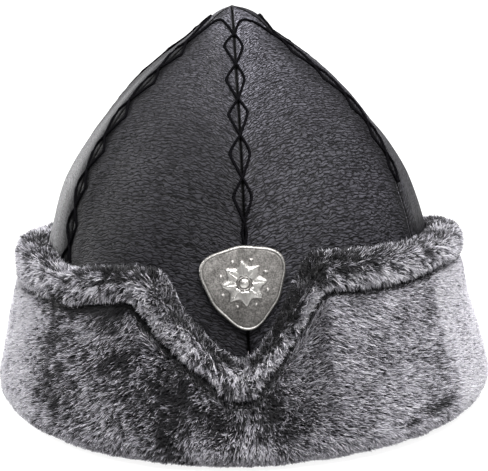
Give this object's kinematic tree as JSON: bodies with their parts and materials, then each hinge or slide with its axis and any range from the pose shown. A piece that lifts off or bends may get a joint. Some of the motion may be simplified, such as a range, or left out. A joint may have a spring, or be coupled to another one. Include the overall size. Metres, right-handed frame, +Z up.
{
  "type": "bork hat",
  "caption": "Pointed leather hat of sewn gores with a turned-up fur cuff, notched at the front round a small metal badge, open below for the head.",
  "frame": {"origin": "centre of the rim that the hat rests on, on the resting plane", "axes": "+Z up to the point of the crown, -Y to the front, where the cuff is notched, +X to the viewer's right seen from the front"},
  "size_m": [0.2308, 0.232, 0.1836],
  "materials": {
    "leather": "pebbled grain, satin black",
    "fur": "short plush pile, dark at the root and pale at the tip",
    "pewter": "antique pewter, darkened field and rubbed edges",
    "pin_steel": "plain nickel plate"
  },
  "bodies": {
    "root": {"gore_front_right": "leather", "gore_right": "leather", "gore_back_right": "leather", "gore_back_left": "leather", "gore_left": "leather", "gore_front_left": "leather", "cuff_band": "fur", "cuff_roll": "fur", "badge": "pewter", "badge_clutch": "pin_steel"}
  },
  "joints": []
}
